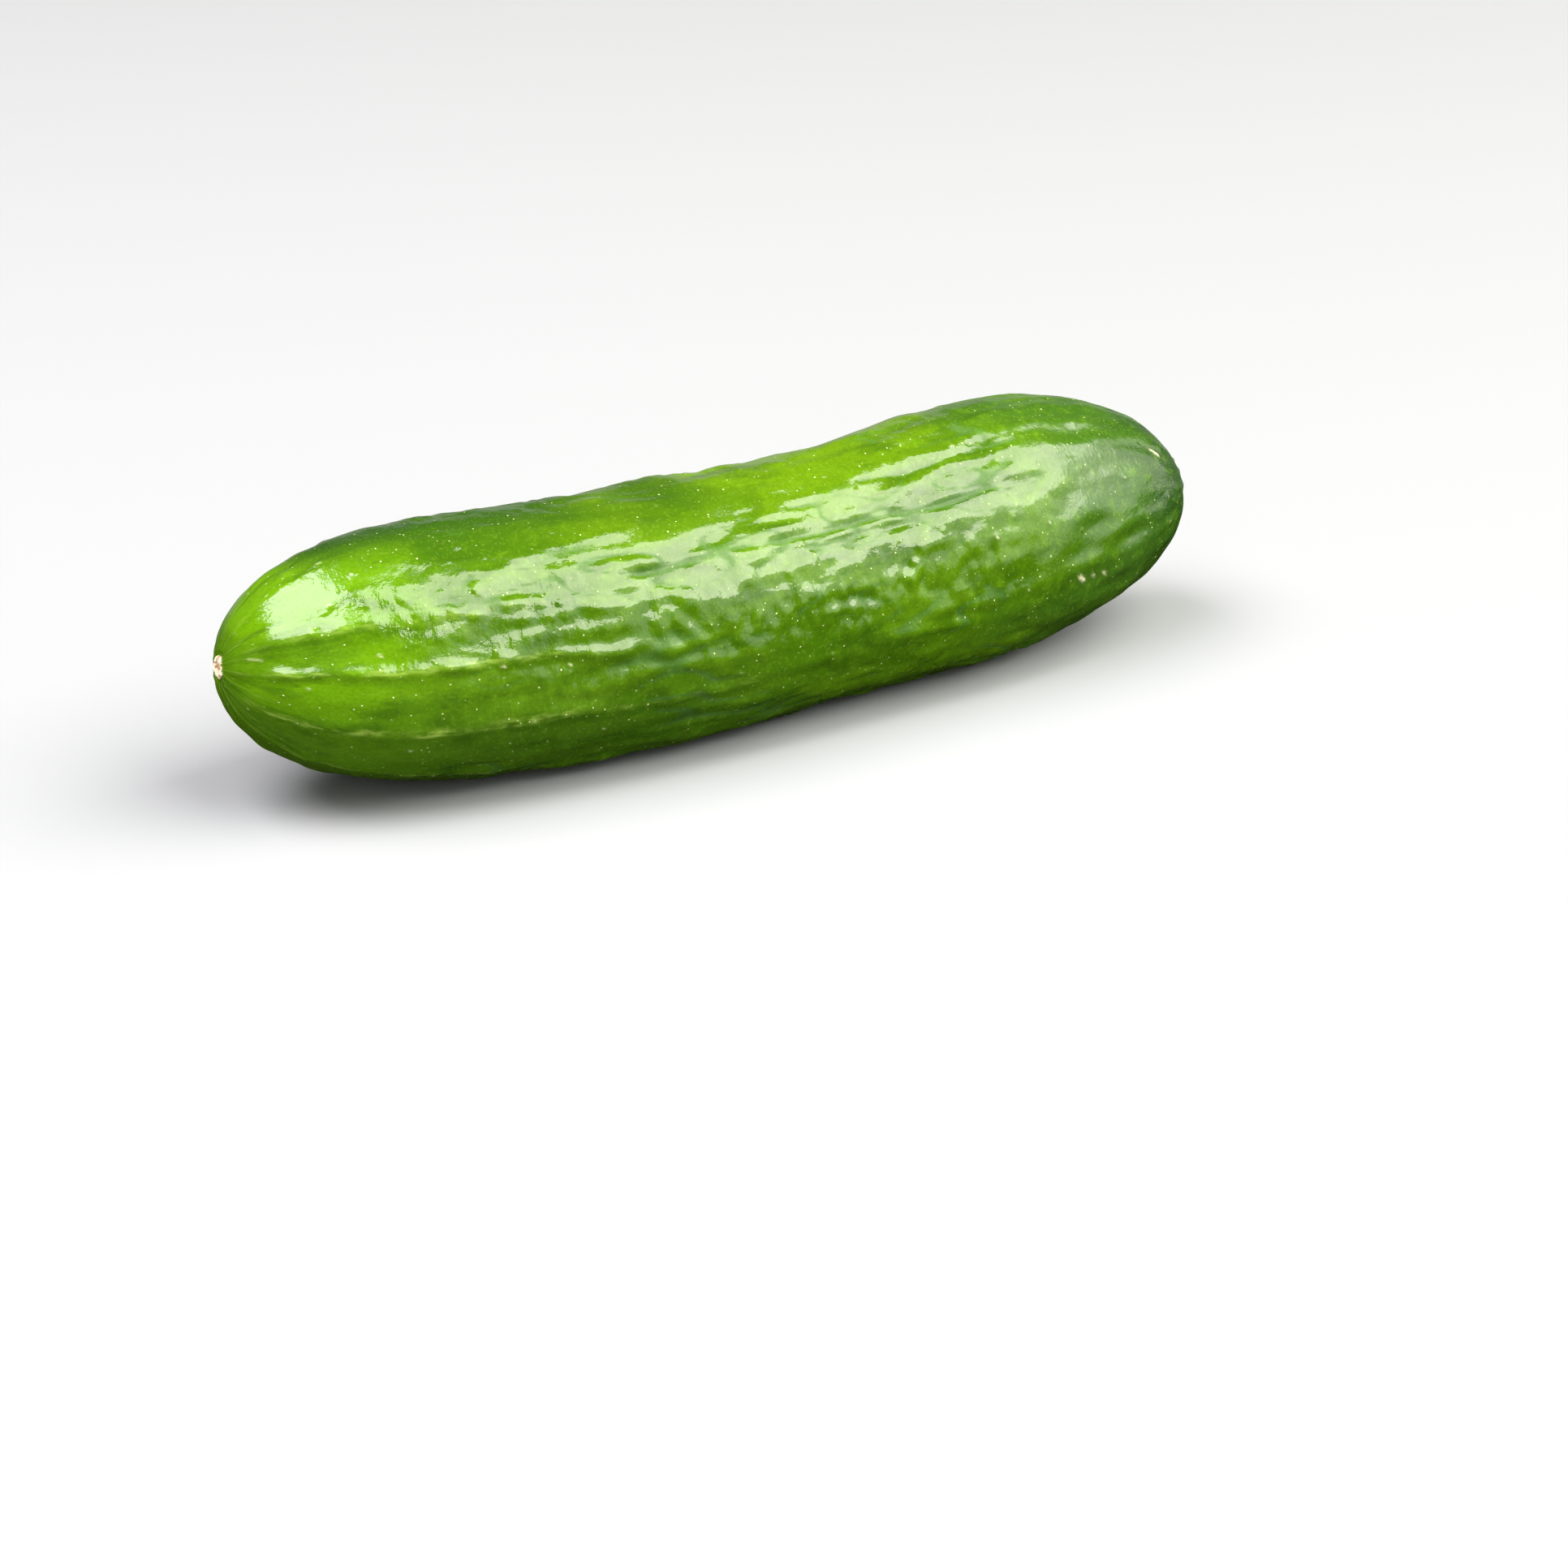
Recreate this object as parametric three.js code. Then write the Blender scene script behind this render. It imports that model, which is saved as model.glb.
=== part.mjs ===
// A small snack cucumber, picked and lying on a table.
//
// The fruit grew as one piece, so it is one closed solid. A plain turned profile gives its girth
// from end to end. That profile is then carried along a gently bowed centre line, with three
// soft lobes around it, and pressed flat where the fruit lies on the table.
//
// Units are millimetres and +Z is up. The fruit lies along X, its blossom end towards -X and its
// stem end towards +X. The origin is on the table, under the middle of the fruit's box.

import * as THREE from 'three';
import { mergeVertices } from 'three/addons/utils/BufferGeometryUtils.js';

// Overall size
const LENGTH = 140;                  // between the two tips, along X
const BODY_RADIUS = 15.7;            // of the plain body, away from its swellings

// The two soft swellings along the body
const LOWER_SWELL_HEIGHT = 0.55;
const LOWER_SWELL_FROM_BLOSSOM = 50; // from the blossom tip to the fullest point
const UPPER_SWELL_HEIGHT = 1.1;
const UPPER_SWELL_FROM_STEM = 35;    // from the stem tip to the fullest point
const SWELL_REACH = 21;              // distance at which a swelling has fallen to a third

// The two rounded ends: a fullness of 2 is an ellipse, and more is blunter
const BLOSSOM_CAP_LENGTH = 38;
const BLOSSOM_CAP_FULLNESS = 3.2;
const STEM_CAP_LENGTH = 40;
const STEM_CAP_FULLNESS = 2.9;

// The centre line's bend: bows raise both ends alike, and swings turn them opposite ways
const SIDE_BOW = 7.1;                // ends towards +Y
const SIDE_SWING = 8.7;
const UPWARD_BOW = 2.5;              // ends towards +Z
const UPWARD_SWING = 1.5;
const BLOSSOM_HOOK = 8;              // how far the blossom tip turns back towards -Y
const BLOSSOM_HOOK_LENGTH = 42;

// The section and its resting patch
const LOBE_HEIGHT = 0.28;            // of each of the three lobes, at the body
const LOBE_COUNT = 3;
const RESTING_PRESS = 0.45;          // depth of the underside that is pressed flat

// What the flower and the stalk left
const BLOSSOM_SCAR_RADIUS = 1.35;
const BLOSSOM_SCAR_RISE = 0.1;
const STEM_SCAR_RADIUS = 3.4;
const STEM_SCAR_SLOPE = 0.7;         // width of the sloping wall inside its rim
const STEM_SCAR_DEPTH = 0.8;

// Fineness of the faceted skin
const RINGS = 46;
const FACES_AROUND = 40;

const RIND_GREEN = '#4c7d1c';
const RIND_ROUGHNESS = 0.42;

// Height of a swelling of the given height, at a distance from its fullest point.
function swelling(height, distance) {
  return height * Math.exp(-((distance / SWELL_REACH) ** 2));
}

// Radius of the body without its rounded ends, at a distance from the blossom tip.
function bodyRadius(fromBlossom) {
  const fromStem = LENGTH - fromBlossom;
  return BODY_RADIUS
    + swelling(LOWER_SWELL_HEIGHT, fromBlossom - LOWER_SWELL_FROM_BLOSSOM)
    + swelling(UPPER_SWELL_HEIGHT, fromStem - UPPER_SWELL_FROM_STEM);
}

// Share of the body's radius that a rounded end has, at a distance from its tip.
function capShare(fromTip, capLength, fullness) {
  const inward = Math.max(0, 1 - fromTip / capLength);
  return Math.sqrt(1 - inward ** fullness);
}

// Distance from a tip at which its rounded end is as wide as the scar that closes it.
function scarPlace(scarRadius, endRadius, capLength, fullness) {
  return capLength * (1 - (1 - (scarRadius / endRadius) ** 2) ** (1 / fullness));
}

// Half outline of the turned fruit: radius against distance, from the blossom scar's middle to
// the stem scar's middle, with its rings closer together at the ends.
function turnedProfile() {
  const blossomRim = scarPlace(
    BLOSSOM_SCAR_RADIUS, bodyRadius(0), BLOSSOM_CAP_LENGTH, BLOSSOM_CAP_FULLNESS);
  const stemRim = LENGTH - scarPlace(
    STEM_SCAR_RADIUS, bodyRadius(LENGTH), STEM_CAP_LENGTH, STEM_CAP_FULLNESS);
  const outline = [new THREE.Vector2(0, blossomRim - BLOSSOM_SCAR_RISE)];
  for (let ring = 0; ring <= RINGS; ring += 1) {
    const share = (1 - Math.cos((Math.PI * ring) / RINGS)) / 2;
    const place = blossomRim + share * (stemRim - blossomRim);
    const radius = bodyRadius(place)
      * capShare(place, BLOSSOM_CAP_LENGTH, BLOSSOM_CAP_FULLNESS)
      * capShare(LENGTH - place, STEM_CAP_LENGTH, STEM_CAP_FULLNESS);
    outline.push(new THREE.Vector2(radius, place));
  }
  const floorRadius = STEM_SCAR_RADIUS - STEM_SCAR_SLOPE;
  outline.push(new THREE.Vector2(floorRadius, stemRim - STEM_SCAR_DEPTH));
  outline.push(new THREE.Vector2(0, stemRim - STEM_SCAR_DEPTH));
  return outline;
}

// The middle of the fruit from the blossom tip (share 0) to the stem tip (share 1).
class CentreLine extends THREE.Curve {
  getPoint(share, target = new THREE.Vector3()) {
    const along = 2 * share - 1;
    const bow = along ** 2;
    const swing = along ** 3 - 0.6 * along;
    const hook = Math.max(0, 1 - (share * LENGTH) / BLOSSOM_HOOK_LENGTH) ** 2;
    return target.set(
      (share - 0.5) * LENGTH,
      SIDE_BOW * bow - SIDE_SWING * swing - BLOSSOM_HOOK * hook,
      UPWARD_BOW * bow - UPWARD_SWING * swing);
  }
}

// Carries a turned shape, whose axis is Y, along the centre line, and lobes its section. One
// lobe points up and the other two point down to either side, so that the fruit lies steady.
function bendAndLobe(geometry, centreLine) {
  const corners = geometry.attributes.position;
  const up = new THREE.Vector3(0, 0, 1);
  const corner = new THREE.Vector3();
  for (let i = 0; i < corners.count; i += 1) {
    corner.fromBufferAttribute(corners, i);
    const share = corner.y / LENGTH;
    const forward = centreLine.getTangent(share);
    const sideways = up.clone().cross(forward).normalize();
    const upward = forward.clone().cross(sideways);
    const angle = Math.atan2(corner.x, corner.z);
    const lobe = 1 + (LOBE_HEIGHT / BODY_RADIUS) * Math.cos(LOBE_COUNT * (angle - Math.PI / 2));
    const bent = centreLine.getPoint(share)
      .addScaledVector(sideways, corner.z * lobe)
      .addScaledVector(upward, corner.x * lobe);
    corners.setXYZ(i, bent.x, bent.y, bent.z);
  }
}

// Stands the shape over the origin with its lowest part pressed flat on the table.
function layOnTable(geometry) {
  geometry.computeBoundingBox();
  const box = geometry.boundingBox;
  const middle = box.getCenter(new THREE.Vector3());
  geometry.translate(-middle.x, -middle.y, -box.min.z - RESTING_PRESS);
  const corners = geometry.attributes.position;
  for (let i = 0; i < corners.count; i += 1) {
    corners.setZ(i, Math.max(0, corners.getZ(i)));
  }
}

function makeCucumber() {
  const turned = new THREE.LatheGeometry(turnedProfile(), FACES_AROUND);
  turned.deleteAttribute('normal');
  turned.deleteAttribute('uv');
  const geometry = mergeVertices(turned);
  bendAndLobe(geometry, new CentreLine());
  layOnTable(geometry);
  geometry.computeVertexNormals();
  const rind = new THREE.MeshStandardMaterial({
    color: RIND_GREEN,
    roughness: RIND_ROUGHNESS,
    metalness: 0,
  });
  const cucumber = new THREE.Mesh(geometry, rind);
  cucumber.name = 'cucumber';
  return cucumber;
}

const fruit = new THREE.Group();
fruit.add(makeCucumber());

export default fruit;
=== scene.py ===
# %% [markdown]
# # A snack cucumber, grown as one surface
#
# The real object is a single fruit: one closed skin with no seams, so it is modelled as one
# piece. Everything on it, from the long bend to the pimples, is worked out with numpy on one grid
# that runs from the blossom end to the stalk end and once around. A formula was chosen rather
# than sculpting, because each feature of the skin then has a size in millimetres to read and
# change. The lesson goes from the plain shape to the skin, then to the finishes and the light.

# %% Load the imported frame
import bpy
import numpy as np
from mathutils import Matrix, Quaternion, Vector


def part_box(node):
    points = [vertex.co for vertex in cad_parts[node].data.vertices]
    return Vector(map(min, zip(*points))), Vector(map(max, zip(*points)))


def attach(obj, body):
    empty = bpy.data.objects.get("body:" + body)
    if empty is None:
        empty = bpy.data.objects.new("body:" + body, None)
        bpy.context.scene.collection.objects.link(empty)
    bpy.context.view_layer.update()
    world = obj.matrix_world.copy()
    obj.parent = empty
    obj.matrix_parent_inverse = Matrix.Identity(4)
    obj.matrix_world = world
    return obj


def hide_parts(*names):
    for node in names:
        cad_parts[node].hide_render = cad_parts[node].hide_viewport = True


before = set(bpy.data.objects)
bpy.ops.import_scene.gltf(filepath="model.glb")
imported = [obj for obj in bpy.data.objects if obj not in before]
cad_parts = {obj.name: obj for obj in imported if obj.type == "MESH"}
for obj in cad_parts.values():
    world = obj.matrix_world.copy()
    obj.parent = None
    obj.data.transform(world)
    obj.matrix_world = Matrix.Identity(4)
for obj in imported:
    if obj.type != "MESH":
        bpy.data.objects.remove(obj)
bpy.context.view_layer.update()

fruit_low, fruit_high = (np.array(corner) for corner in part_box("cucumber"))
MM = 0.001
print("fruit in mm:", ((fruit_high - fruit_low) / MM).round(2))

# %% [markdown]
# ## The plain fruit
#
# A cucumber's girth hardly changes along its length, then closes in two blunt domes. It could be
# a stretched sphere with proportional editing, but its profile is simple enough to write down: a
# plain radius, two soft swellings, and a dome at each end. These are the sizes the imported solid
# was made with, so the fine skin lies exactly where the collision shape is.

# %% Sizes of the plain fruit, in millimetres
LENGTH = 140.0
BODY_RADIUS = 15.7
LOWER_SWELL = (0.55, 50.0)           # height, and distance from the blossom tip
UPPER_SWELL = (1.1, LENGTH - 35.0)
SWELL_REACH = 21.0
BLOSSOM_CAP = (38.0, 3.2)            # length, and fullness of the dome
STEM_CAP = (40.0, 2.9)
SIDE_BOW, SIDE_SWING = 7.1, 8.7
UPWARD_BOW, UPWARD_SWING = 2.5, 1.5
BLOSSOM_HOOK, BLOSSOM_HOOK_LENGTH = 8.0, 42.0
LOBE_HEIGHT, LOBES = 0.28, 3
RESTING_PRESS = 0.45
BLOSSOM_SCAR_RADIUS = 1.35
STALK_SCAR_RADIUS, STALK_SCAR_SLOPE, STALK_SCAR_DEPTH = 3.4, 0.7, 0.8

# %% Girth
def girth(place):
    """Radius at a distance from the blossom tip: plain radius, plus a bell-shaped rise at each
    swelling, times a dome factor sqrt(1 - (1 - distance / cap)^fullness) at each end."""
    radius = np.full_like(place, BODY_RADIUS)
    for height, middle in (LOWER_SWELL, UPPER_SWELL):
        radius += height * np.exp(-((place - middle) / SWELL_REACH) ** 2)
    for from_tip, (length, fullness) in ((place, BLOSSOM_CAP), (LENGTH - place, STEM_CAP)):
        inward = np.clip(1 - from_tip / length, 0, 1)
        radius *= np.sqrt(np.clip(1 - inward ** fullness, 0, 1))
    return radius


def rim_place(scar_radius, cap, end_radius):
    """Distance from a tip at which its dome is as wide as a scar, from the dome's formula."""
    length, fullness = cap
    return length * (1 - (1 - (scar_radius / end_radius) ** 2) ** (1 / fullness))


stalk_rim = LENGTH - rim_place(STALK_SCAR_RADIUS, STEM_CAP, BODY_RADIUS)
print("widest girth:", round(2 * girth(np.linspace(0, LENGTH, 400)).max(), 2), "mm")

# %% Bent centre line
def centre_line(place):
    """Middle of the fruit at a distance from the blossom tip. With u running from -1 to 1, bows
    follow u^2, swings follow u^3 - 0.6 u, and the hook is a parabola near the blossom tip."""
    u = 2 * place / LENGTH - 1
    swing = u ** 3 - 0.6 * u
    hook = np.clip(1 - place / BLOSSOM_HOOK_LENGTH, 0, 1) ** 2
    across = SIDE_BOW * u ** 2 - SIDE_SWING * swing - BLOSSOM_HOOK * hook
    upward = UPWARD_BOW * u ** 2 - UPWARD_SWING * swing
    return np.stack([place - LENGTH / 2, across, upward], axis=-1)


def unit(vectors):
    """Vectors divided by their own length."""
    return vectors / np.linalg.norm(vectors, axis=-1, keepdims=True)


tips = centre_line(np.array([0.0, LENGTH]))
print("centre line in mm, from", tips[0].round(1), "to", tips[1].round(1))

# %% [markdown]
# ## Where the grid's lines go
#
# The skin has details of about a millimetre, so the rings are 0.4 mm apart along the body. Near
# the two scars, where the details are finer, they are closer. Equal steps along the profile's own
# length, rather than along X, keep the cells even on the domes.

# %% Rings
AROUND = 240
BODY_STEP, SCAR_STEP = 0.43, 0.13    # distance between rings, mm
SCAR_ZONE = 4.0                      # fine rings up to this far from each end, mm

profile_place = LENGTH * (1 - np.cos(np.linspace(0, np.pi, 20001))) / 2
profile_place = profile_place[profile_place <= stalk_rim]
profile_radius = girth(profile_place)
floor_radius = STALK_SCAR_RADIUS - STALK_SCAR_SLOPE
profile_place = np.append(profile_place, [stalk_rim - STALK_SCAR_DEPTH] * 2)
profile_radius = np.append(profile_radius, [floor_radius, 0.0])
walked = np.append(0, np.cumsum(np.hypot(np.diff(profile_place), np.diff(profile_radius))))
from_end = np.minimum(walked, walked[-1] - walked)
fine = 1 / (1 + np.exp((from_end - SCAR_ZONE) / 0.8))
density = fine / SCAR_STEP + (1 - fine) / BODY_STEP
counted = np.append(0, np.cumsum(np.diff(walked) * (density[1:] + density[:-1]) / 2))
ring_number = np.arange(1, int(counted[-1]))
ring_walked = np.interp(ring_number, counted, walked)
ring_place = np.interp(ring_walked, walked, profile_place)
ring_radius = np.interp(ring_walked, walked, profile_radius)
angle = np.linspace(0, 2 * np.pi, AROUND, endpoint=False)
print("rings:", len(ring_place), "cells:", len(ring_place) * AROUND)

# %% Smooth surface
def smooth_surface(place, radius):
    """Carries a circle of each radius along the centre line, square to it. The circle is lobed
    by 1 + lobe * cos(3 (angle - 90 degrees)), so one lobe is on top and two are low down."""
    step = 0.01
    forward = unit(centre_line(place + step) - centre_line(place - step))
    sideways = unit(np.cross([0.0, 0.0, 1.0], forward))
    upward = np.cross(forward, sideways)
    lobed = 1 + LOBE_HEIGHT / BODY_RADIUS * np.cos(LOBES * (angle - np.pi / 2))
    reach = radius[:, None, None] * lobed[None, :, None]
    spoke = (np.cos(angle)[None, :, None] * sideways[:, None]
             + np.sin(angle)[None, :, None] * upward[:, None])
    return centre_line(place)[:, None] + reach * spoke


def outward(surface):
    """Normals of a grid of points, from the cross product of its two grid directions."""
    around = np.roll(surface, -1, axis=1) - np.roll(surface, 1, axis=1)
    along = np.gradient(surface, axis=0)
    return unit(np.cross(around, along))


plain = smooth_surface(ring_place, ring_radius)
facing = outward(plain)
lowest, highest = plain.min(axis=(0, 1)), plain.max(axis=(0, 1))
settle = (fruit_low + fruit_high) / 2 / MM - (lowest + highest) / 2
settle[2] = fruit_low[2] / MM - lowest[2] - RESTING_PRESS
print("size differs from the packed solid by", ((highest - lowest)
      - (fruit_high - fruit_low) / MM).round(2), "mm")

# %% [markdown]
# ## Noise that knows no seam
#
# Skin is never regular. Blender's noise could be baked to a displacement, but a sum of cosine
# waves with random directions does the same in a few lines of numpy. It reads each point's place
# on the fruit before it was bent, so patterns can be stretched along or across the fruit, and it
# meets itself all the way around.

# %% Wavy noise
unbent = np.stack(np.broadcast_arrays(
    ring_place[:, None],
    ring_radius[:, None] * np.cos(angle),
    ring_radius[:, None] * np.sin(angle)), axis=-1)
dice = np.random.default_rng(41)
SLANT = 1.5                          # a wave that meets the skin at a slant looks this much longer
PEAK = 1.4                           # a usual peak of the sum, so that dividing by it gives 1


def drift(along_mm, across_mm, waves=32):
    """Random smooth field of about -1 to 1: a sum of cosines whose directions are random and
    whose wavelengths, seen on the skin, vary by a third around the two sizes given."""
    heading = unit(dice.normal(size=(waves, 3)))
    pitch = SLANT * 2 * np.pi * dice.uniform(0.7, 1.4, (waves, 1)) * heading
    pitch = pitch / np.array([along_mm, across_mm, across_mm])
    phase = dice.uniform(0, 2 * np.pi, waves)
    field = np.zeros(unbent.shape[:2])
    for wave in range(waves):
        field += np.cos(unbent @ pitch[wave] + phase[wave])
    return field * np.sqrt(2 / waves) / PEAK


def ease(low, high, value):
    """Smooth step from 0 at low to 1 at high."""
    t = np.clip((value - low) / (high - low), 0, 1)
    return t * t * (3 - 2 * t)


def turn_between(a, b):
    """Smallest signed turn from angle b to angle a, in radians."""
    return (a - b + np.pi) % (2 * np.pi) - np.pi


def bell(distance, half_width):
    """Bell curve exp(-(distance / half width)^2)."""
    return np.exp(-(distance / half_width) ** 2)


print("noise is worked out at", unbent.shape[0] * unbent.shape[1], "points")

# %% Places on the fruit
place = ring_place[:, None]          # mm from the blossom tip
radius = ring_radius[:, None]
fullness = np.clip(radius / BODY_RADIUS, 0, 1)
toward_stem = ease(70, 122, place)


def side(degrees, half_width):
    """Bell curve around the fruit: its middle angle and its half width, in degrees."""
    return bell(turn_between(angle, np.radians(degrees)), np.radians(half_width))


def stretch(start, full, fading, end):
    """Rises from 0 at start to 1 at full, and falls to 0 again from fading to end, in mm."""
    return ease(start, full, place) * (1 - ease(fading, end, place))


thick = ring_place[fullness[:, 0] > 0.95]
print("nearly full girth from", thick.min().round(1), "to", thick.max().round(1), "mm")

# %% [markdown]
# ## Ribs, creases and rays
#
# A cucumber has a rib over each of its strands of vessels. On this one they leave the blossom
# scar as narrow crests, soften along the body and end at different places, and towards the stalk
# there are only many faint ribs. Each crest is a bell curve around its own wandering angle. The
# table holds one line for each rib, so any of them can be moved, narrowed or cut short.

# %% Ribs
RIBS = [  # angle and turn in degrees, start and end from the blossom tip, height, half width
    (143, 4, 0, 46, 0.34, 1.5), (150, 3, 34, 128, 0.24, 1.7), (167, 3, 0, 56, 0.45, 0.8),
    (199, -7, 0, 92, 0.24, 1.2), (226, 8, 0, 62, 0.24, 1.4), (105, 4, 0, 66, 0.22, 1.7),
    (124, 2, 0, 22, 0.10, 0.8), (183, -2, 0, 20, 0.10, 0.8), (77, -4, 0, 84, 0.20, 1.6),
    (46, 5, 0, 58, 0.26, 1.4), (16, -3, 0, 104, 0.24, 1.5), (334, 4, 0, 72, 0.26, 1.3),
    (297, -4, 0, 96, 0.22, 1.6), (262, 5, 0, 54, 0.26, 1.3), (30, 3, 60, 126, 0.20, 1.8),
    (88, -3, 52, 118, 0.14, 2.2), (245, 4, 58, 124, 0.22, 1.7), (312, -3, 66, 128, 0.20, 1.8),
]
FINE_RIBS, FINE_RIB_HEIGHT = 29, 0.045
LINED_FROM = 0.15                    # a rib from the scar that is higher than this has a pale line

rib_height = np.zeros(unbent.shape[:2])
knots = np.clip(0.85 + 0.5 * drift(7, 9), 0.4, 1.3)
rib_line = np.zeros_like(rib_height)
for degrees, turn, start, end, height, half_width in RIBS:
    slow, quick = dice.uniform(0, 2 * np.pi, 2)
    # The line wanders by 2 degrees over about 75 mm, and by 1 degree over about 28 mm.
    wander = 2.0 * np.sin(place / 12 + slow) + 0.9 * np.sin(place / 4.4 + quick)
    wander = wander * ease(10, 40, place)
    path = np.radians(degrees + turn * (place - start) / (end - start) + wander)
    off_line = turn_between(angle, path) * radius
    lasting = 1 - ease(end - 0.35 * (end - start), end, place)
    lasting = lasting * (ease(start, start + 16, place) if start else ease(0.05, 0.7, fullness))
    rib_height = rib_height + height * lasting * knots * bell(off_line, half_width)
    if start == 0 and height > LINED_FROM:
        thin = (0.50 + 0.2 * half_width) * (1 - 0.45 * (1 - ease(4, 30, place)))
        rib_line = np.maximum(rib_line, bell(off_line, thin) * lasting)
fine_turn = 0.5 * np.sin(place / 9 + 1.0) + 0.3 * np.sin(place / 3.9)
fine_ribs = np.cos(FINE_RIBS * angle + fine_turn) * toward_stem * ease(0.3, 0.9, fullness)
relief = rib_height + FINE_RIB_HEIGHT * fine_ribs
print("rib relief:", relief.min().round(2), "to", relief.max().round(2), "mm")

# %% Long creases
CREASES = [  # angle in degrees, from and to in mm from the blossom tip, depth in mm
    (137, 30, 122, 0.40), (143, 54, 98, 0.20), (118, 74, 126, 0.16), (62, 40, 104, 0.20),
    (24, 66, 120, 0.18), (176, 46, 74, 0.16), (214, 30, 96, 0.18), (238, 70, 118, 0.18),
    (282, 28, 88, 0.18), (318, 50, 112, 0.18), (352, 70, 124, 0.16),
]
CREASE_HALF_WIDTH = 0.46             # mm

breaks = drift(9, 6)
groove_line = np.zeros_like(relief)
for degrees, start, end, depth in CREASES:
    bend = 1.6 * np.sin(place / 11 + degrees) + 0.9 * np.sin(place / 3.3 + degrees)
    off_line = turn_between(angle, np.radians(degrees + bend)) * radius
    lasting = ease(start, start + 14, place) * (1 - ease(end - 18, end, place))
    groove = bell(off_line, CREASE_HALF_WIDTH) * lasting
    groove = groove * np.clip(0.7 + 0.6 * breaks, 0.15, 1.3)
    relief = relief - depth * groove
    groove_line = np.maximum(groove_line, groove * depth / 0.3)
print("creases:", len(CREASES), "and the deepest point is at", relief.min().round(2), "mm")

# %% [markdown]
# ## Uneven skin
#
# The rind of a thin-skinned cucumber is slack. It undulates over centimetres, puckers across its
# length on the slack side, has crooked little furrows along it, and fine wrinkles where it dried.
# These are noises of different sizes. Their slopes matter more than their heights, because a
# slope is what moves a reflection. A noise's zero line makes a crooked furrow, and a noise pressed
# through tanh makes flat little cushions with steep sides.

# %% Undulation
UNDULATION = 0.16                    # heights in mm
WAVES_AT_BLOSSOM, WAVES_GAINED = 0.06, 0.08
FOLDS_AT_BLOSSOM, FOLDS_GAINED = 0.03, 0.04

relief = relief + UNDULATION * drift(46, 24) * fullness
wave_height = WAVES_AT_BLOSSOM + WAVES_GAINED * ease(24, 50, place)
relief = relief + wave_height * drift(15, 9) * fullness
fold_height = FOLDS_AT_BLOSSOM + FOLDS_GAINED * ease(20, 44, place)
relief = relief + fold_height * drift(15, 4.6, waves=40) * fullness
print("with the undulation:", relief.min().round(2), "to", relief.max().round(2), "mm")

# %% Furrows
RIDGE_HEIGHT, FURROW_DEPTH = 0.10, 0.12     # mm

furrow_patch = np.maximum(side(136, 20), ease(0.0, 0.7, drift(36, 18)))
furrow_patch = furrow_patch * ease(12, 34, place) * (1 - 0.85 * ease(100, 118, place))
relief = relief + RIDGE_HEIGHT * furrow_patch * drift(13, 3.4, waves=48)
crooked = bell(drift(21, 6.5, waves=40), 0.30)
relief = relief - FURROW_DEPTH * crooked * furrow_patch
groove_line = np.clip(np.maximum(groove_line, 0.8 * crooked * furrow_patch), 0, 1)
print("share of the skin with furrows:", (furrow_patch > 0.5).mean().round(2))

# %% Puckers and wrinkles
CUSHION_HEIGHT, PUCKER_HEIGHT, WRINKLE_HEIGHT = 0.16, 0.085, 0.034     # mm

other_slack = ease(0.25, 0.9, drift(34, 20)) * (1 - side(120, 50))
pucker_patch = np.maximum(side(169, 17) * stretch(34, 50, 92, 108),
                          other_slack * stretch(24, 44, 100, 118))
cushions = np.tanh(1.5 * drift(4.2, 6.5, waves=64))
relief = relief + CUSHION_HEIGHT * pucker_patch * cushions
relief = relief + PUCKER_HEIGHT * pucker_patch * drift(2.5, 4.0, waves=64)
wrinkle_patch = 0.3 + 0.7 * ease(-0.2, 0.7, drift(16, 9))
wrinkle_patch = wrinkle_patch * ease(6, 30, place) * (1 - 0.5 * toward_stem)
relief = relief + WRINKLE_HEIGHT * wrinkle_patch * drift(2.2, 3.2, waves=64)
print("with the uneven skin:", relief.min().round(2), "to", relief.max().round(2), "mm")

# %% [markdown]
# ## Pimples and marks
#
# The young fruit carries small bristles. When they rub off, each leaves a pimple about a
# millimetre wide with a pale dot on top. Each one is a bell curve of height with a moat around it.
# Growing against a leaf or a neighbour leaves a few corky grazes, which are short raised lines.

# %% Pimples
PIMPLES = 190
PIMPLE_RADIUS = (0.42, 0.72)         # mm
PIMPLE_HEIGHT = (0.12, 0.30)         # mm
PALE_TIP_RADIUS = 0.22               # mm

pimple_tip = np.zeros_like(relief)
pimple_angle = dice.uniform(0, 2 * np.pi, PIMPLES)
pimple_place = dice.uniform(7, LENGTH - 7, PIMPLES)
for at, turn in zip(pimple_place, pimple_angle):
    size = dice.uniform(*PIMPLE_RADIUS)
    rise = dice.uniform(*PIMPLE_HEIGHT) * size / 0.6
    apart = np.hypot((place - at) / dice.uniform(1.0, 1.7), turn_between(angle, turn) * radius)
    relief = relief + rise * (bell(apart, size) - 0.45 * bell(apart, 2.0 * size))
    tip = dice.uniform(0.1, 0.9) * bell(apart, PALE_TIP_RADIUS)
    pimple_tip = np.maximum(pimple_tip, tip)
skin_area = 2 * np.pi * BODY_RADIUS * LENGTH / 100
print("pimples:", PIMPLES, "or one on each", round(skin_area / PIMPLES, 1), "cm2")

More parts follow.
